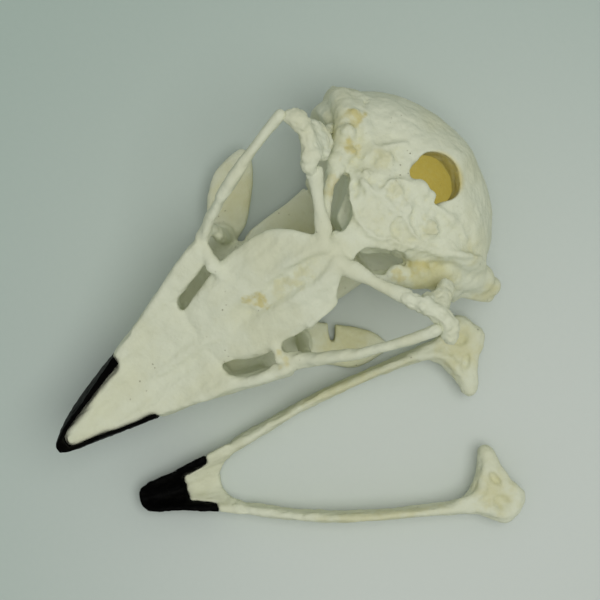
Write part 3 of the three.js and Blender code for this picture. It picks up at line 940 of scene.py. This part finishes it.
@dataclass
class Quadrate:
    """The bone of the jaw joint on one side, loose in its seat."""

    side: Side
    cell: float = 0.36

    def node(self) -> str:
        """Name of the solid that the bone stands for."""
        return f"quadrate_{self.side.name.lower()}"

    def clay(self) -> list[bpy.types.Object]:
        """Lays the two knuckles and the neck between them.

        Returns:
            The new meshes.
        """
        on = Clay(SKULL_LIE)
        if self.side is Side.LEFT:
            return [
                on.lump((-29.0, 87.6, 49.2), (3.2, 2.6, 2.6), (0, 0, 17)),
                on.rod([(-29.4, 88.0, 48.8, 2.2), (-25.1, 87.6, 48.8, 2.3), (-21.9, 86.0, 49.0, 2.2)]),
                on.rod([(-21.9, 86.0, 49.0, 2.2), (-19.4, 84.2, 49.2, 2.3), (-17.2, 83.4, 48.0, 1.7)]),
                on.rod([(-25.6, 89.0, 46.0, 2.6), (-22.2, 89.6, 43.6, 2.8), (-19.8, 88.0, 44.6, 2.4)]),
            ]
        return [
            on.rod([(15.4, 83.2, 48.0, 1.5), (18.4, 84.6, 48.6, 2.1), (21.6, 86.4, 48.6, 2.3)]),
            on.rod(
                [
                    (21.6, 86.4, 48.6, 2.3),
                    (25.0, 88.0, 48.6, 2.4),
                    (28.6, 88.0, 48.4, 2.5),
                    (30.2, 87.0, 48.0, 2.2),
                ]
            ),
            on.rod([(24.0, 88.8, 46.6, 2.5), (22.6, 91.0, 44.6, 2.6), (21.8, 92.8, 42.0, 2.4)]),
        ]

    def build(self) -> bpy.types.Object:
        """Casts the knuckles and the solid's body into one bone.

        Returns:
            The bone's finished mesh.
        """
        body = Bench.copy_of(self.node())
        Bench.soften(Bench.cast(Bench.grow(body, -0.7), 0.45), 20)
        made = Bench.fuse([body, *self.clay()], self.node() + "_bone")
        Bench.soften(Bench.cast(made, self.cell), 8)
        Bench.rough(made, 3.6, 1.0, self.node() + "_waves", hard=True)
        Bench.rough(made, 1.6, 0.35, self.node() + "_grain", hard=True)
        return Bench.soften(made, 1)

    def dress(self, piece: bpy.types.Object) -> None:
        """Gives the bone its finish."""
        s = self.side.value
        stains = (Stain((s * 22.5, 91.0, 42.0), (6.0, 5.0, 6.0), 0.4, "honey"),)
        material = BoneFinish(self.node() + "_finish", SKULL_LIE, stains).make()
        hand_over(piece, material, [self.node()])


@dataclass
class BillHorn:
    """The black horn round the tip of the upper bill, with a ragged back edge."""

    cell: float = 0.26
    node: str = "bill_sheath"

    def build(self) -> bpy.types.Object:
        """Casts the horn's skin and roughens its edge.

        Returns:
            The horn's finished mesh.
        """
        made = Bench.copy_of(self.node)
        made.name = "bill_horn"
        Bench.soften(Bench.cast(Bench.grow(made, 0.16), self.cell), 4)
        Bench.rough(made, 1.4, 0.34, "bill_horn_edge")
        return Bench.soften(made, 1)

    def dress(self, piece: bpy.types.Object) -> None:
        """Gives the horn its finish."""
        hand_over(piece, HornFinish("bill_horn_finish", SKULL_LIE).make(), [self.node])


@dataclass
class Jaw:
    """The bone of the lower jaw: chin, two blades and their joint plates."""

    cell: float = 0.36
    skin: float = 0.2
    nodes: tuple[str, ...] = ("jaw_chin", "ramus_left", "ramus_right")

    def clay(self) -> list[bpy.types.Object]:
        """Lays the ridges of the joint plates.

        Returns:
            The new meshes.
        """
        on = Clay(JAW_LIE)
        made = []
        for side in Side:
            s = side.value
            made += [
                on.rod(
                    [
                        (s * 18.4, 74.0, 8.6, 1.4),
                        (s * 17.4, 79.0, 8.4, 1.5),
                        (s * 13.0, 82.0, 8.0, 1.4),
                        (s * 7.4, 83.8, 7.0, 1.1),
                    ]
                ),
                on.rod(
                    [
                        (s * 19.0, 77.0, 7.6, 1.8),
                        (s * 22.2, 82.4, 7.8, 1.6),
                        (s * 23.6, 85.0, 7.2, 1.5),
                        (s * 20.6, 88.4, 7.2, 1.4),
                    ]
                ),
                on.rod(
                    [
                        (s * 20.6, 88.2, 7.0, 1.3),
                        (s * 15.6, 86.6, 7.0, 1.2),
                        (s * 10.0, 85.2, 6.8, 1.1),
                    ]
                ),
                on.lump((s * 17.4, 84.2, 7.2), (1.8, 1.4, 1.5), (0, 0, s * 40)),
            ]
        return made

    def cutters(self) -> bpy.types.Object:
        """Makes the hollows of the joint plates.

        Returns:
            One closed cutter.
        """
        on = Clay(JAW_LIE)
        made = []
        for side in Side:
            s = side.value
            made += [
                on.lump((s * 20.2, 84.4, 9.4), (1.9, 2.5, 1.7), (0, 0, s * -30)),
                on.lump((s * 14.6, 84.2, 9.2), (2.6, 1.2, 1.6), (0, 0, s * 25)),
            ]
        return Bench.cast(Bench.fuse(made, "jaw_cutters"), 0.3)

    def build(self) -> bpy.types.Object:
        """Casts the jaw into one bone.

        Returns:
            The jaw's finished mesh.
        """
        parts = []
        for node in self.nodes:
            part = Bench.copy_of(node)
            Bench.cast(Bench.grow(part, self.skin), 0.4)
            parts.append(Bench.soften(part, 7))
        made = Bench.fuse([*parts, *self.clay()], "lower_jaw")
        Bench.soften(Bench.cast(made, self.cell), 6)
        Bench.carve(made, self.cutters())
        Bench.soften(Bench.cast(made, self.cell), 4)
        Bench.rough(made, 6.0, 0.4, "jaw_waves")
        Bench.rough(made, 3.0, 0.35, "jaw_creases", hard=True)
        Bench.rough(made, 2.4, 0.7, "jaw_streaks", stretch=10.0, turn_deg=JAW_LIE.turn_deg)
        Bench.rough(made, 1.8, 0.18, "jaw_grain")
        return Bench.thin_out(Bench.soften(made, 1), 150000)

    def dress(self, piece: bpy.types.Object) -> None:
        """Gives the jaw its finish."""
        stains = []
        for side in Side:
            s = side.value
            stains += [
                Stain((s * 16.0, 55.0, 11.0), (4.0, 30.0, 4.0), 0.5, "honey"),
                Stain((s * 18.0, 83.0, 8.0), (9.0, 7.0, 5.0), 0.6, "honey"),
            ]
        material = BoneFinish("jaw_bone", JAW_LIE, tuple(stains)).make()
        hand_over(piece, material, self.nodes)


@dataclass
class JawHorn:
    """The black horn of the lower jaw's tip, with a ragged back edge."""

    cell: float = 0.28
    node: str = "jaw_sheath"

    def build(self) -> bpy.types.Object:
        """Casts the horn's skin and roughens its edge.

        Returns:
            The horn's finished mesh.
        """
        made = Bench.copy_of(self.node)
        made.name = "jaw_horn"
        Bench.soften(Bench.cast(Bench.grow(made, 0.2), self.cell), 4)
        Bench.rough(made, 2.0, 0.6, "jaw_horn_edge")
        return Bench.soften(made, 1)

    def dress(self, piece: bpy.types.Object) -> None:
        """Gives the horn its finish."""
        hand_over(piece, HornFinish("jaw_horn_finish", JAW_LIE).make(), [self.node])


@dataclass
class Studio:
    """Pale floor, soft light from above and a little to the right, and the camera straight above."""

    height: float = 0.520
    lens: float = 127.6
    axis: tuple[float, float] = (-0.01755, 0.00597)
    turn_deg: float = 53.8
    key_power: float = 4.5
    ambient: float = 0.37

    def floor(self) -> None:
        """Lays the floor."""
        bpy.ops.object.select_all(action="DESELECT")
        bpy.ops.mesh.primitive_plane_add(size=6.0, location=(0, 0, -0.0002))
        ground = bpy.context.active_object
        ground.name = "floor"
        bpy.ops.object.transform_apply(location=True, rotation=True, scale=True)
        ground.data.materials.append(FloorFinish().make())

    def light(self) -> None:
        """Hangs the key light and sets the even light of the room."""
        up = Vector((-math.sin(math.radians(self.turn_deg)), math.cos(math.radians(self.turn_deg)), 0))
        right = Vector((up.y, -up.x, 0))
        spot = right * 0.17 - up * 0.02 + Vector((0, 0, 1.0))
        bpy.ops.object.light_add(type="AREA", location=spot)
        key = bpy.context.active_object
        key.name = "key_light"
        key.data.shape = "DISK"
        key.data.size = 0.7
        key.data.energy = self.key_power
        key.rotation_euler = (-spot).to_track_quat("-Z", "Y").to_euler()
        world = bpy.data.worlds.new("room")
        world.use_nodes = True
        back = world.node_tree.nodes["Background"]
        back.inputs["Color"].default_value = (0.97, 1.0, 0.98, 1.0)
        back.inputs["Strength"].default_value = self.ambient
        bpy.context.scene.world = world

    def camera(self) -> None:
        """Sets the camera."""
        turn = (0, 0, math.radians(self.turn_deg))
        bpy.ops.object.camera_add(location=(*self.axis, self.height), rotation=turn)
        made = bpy.context.active_object
        made.data.lens = self.lens
        made.data.sensor_width = 36.0
        made.data.clip_start = 0.01
        bpy.context.scene.camera = made
        bpy.context.scene.view_settings.view_transform = "Standard"


def main() -> None:
    """Builds every piece in order."""
    logging.basicConfig(level=logging.INFO, format="%(name)s %(message)s")
    for maker in (Skull(), Quadrate(Side.LEFT), Quadrate(Side.RIGHT), BillHorn(), Jaw(), JawHorn()):
        maker.dress(maker.build())
    studio = Studio()
    studio.floor()
    studio.light()
    studio.camera()


if __name__ == "__main__":
    main()
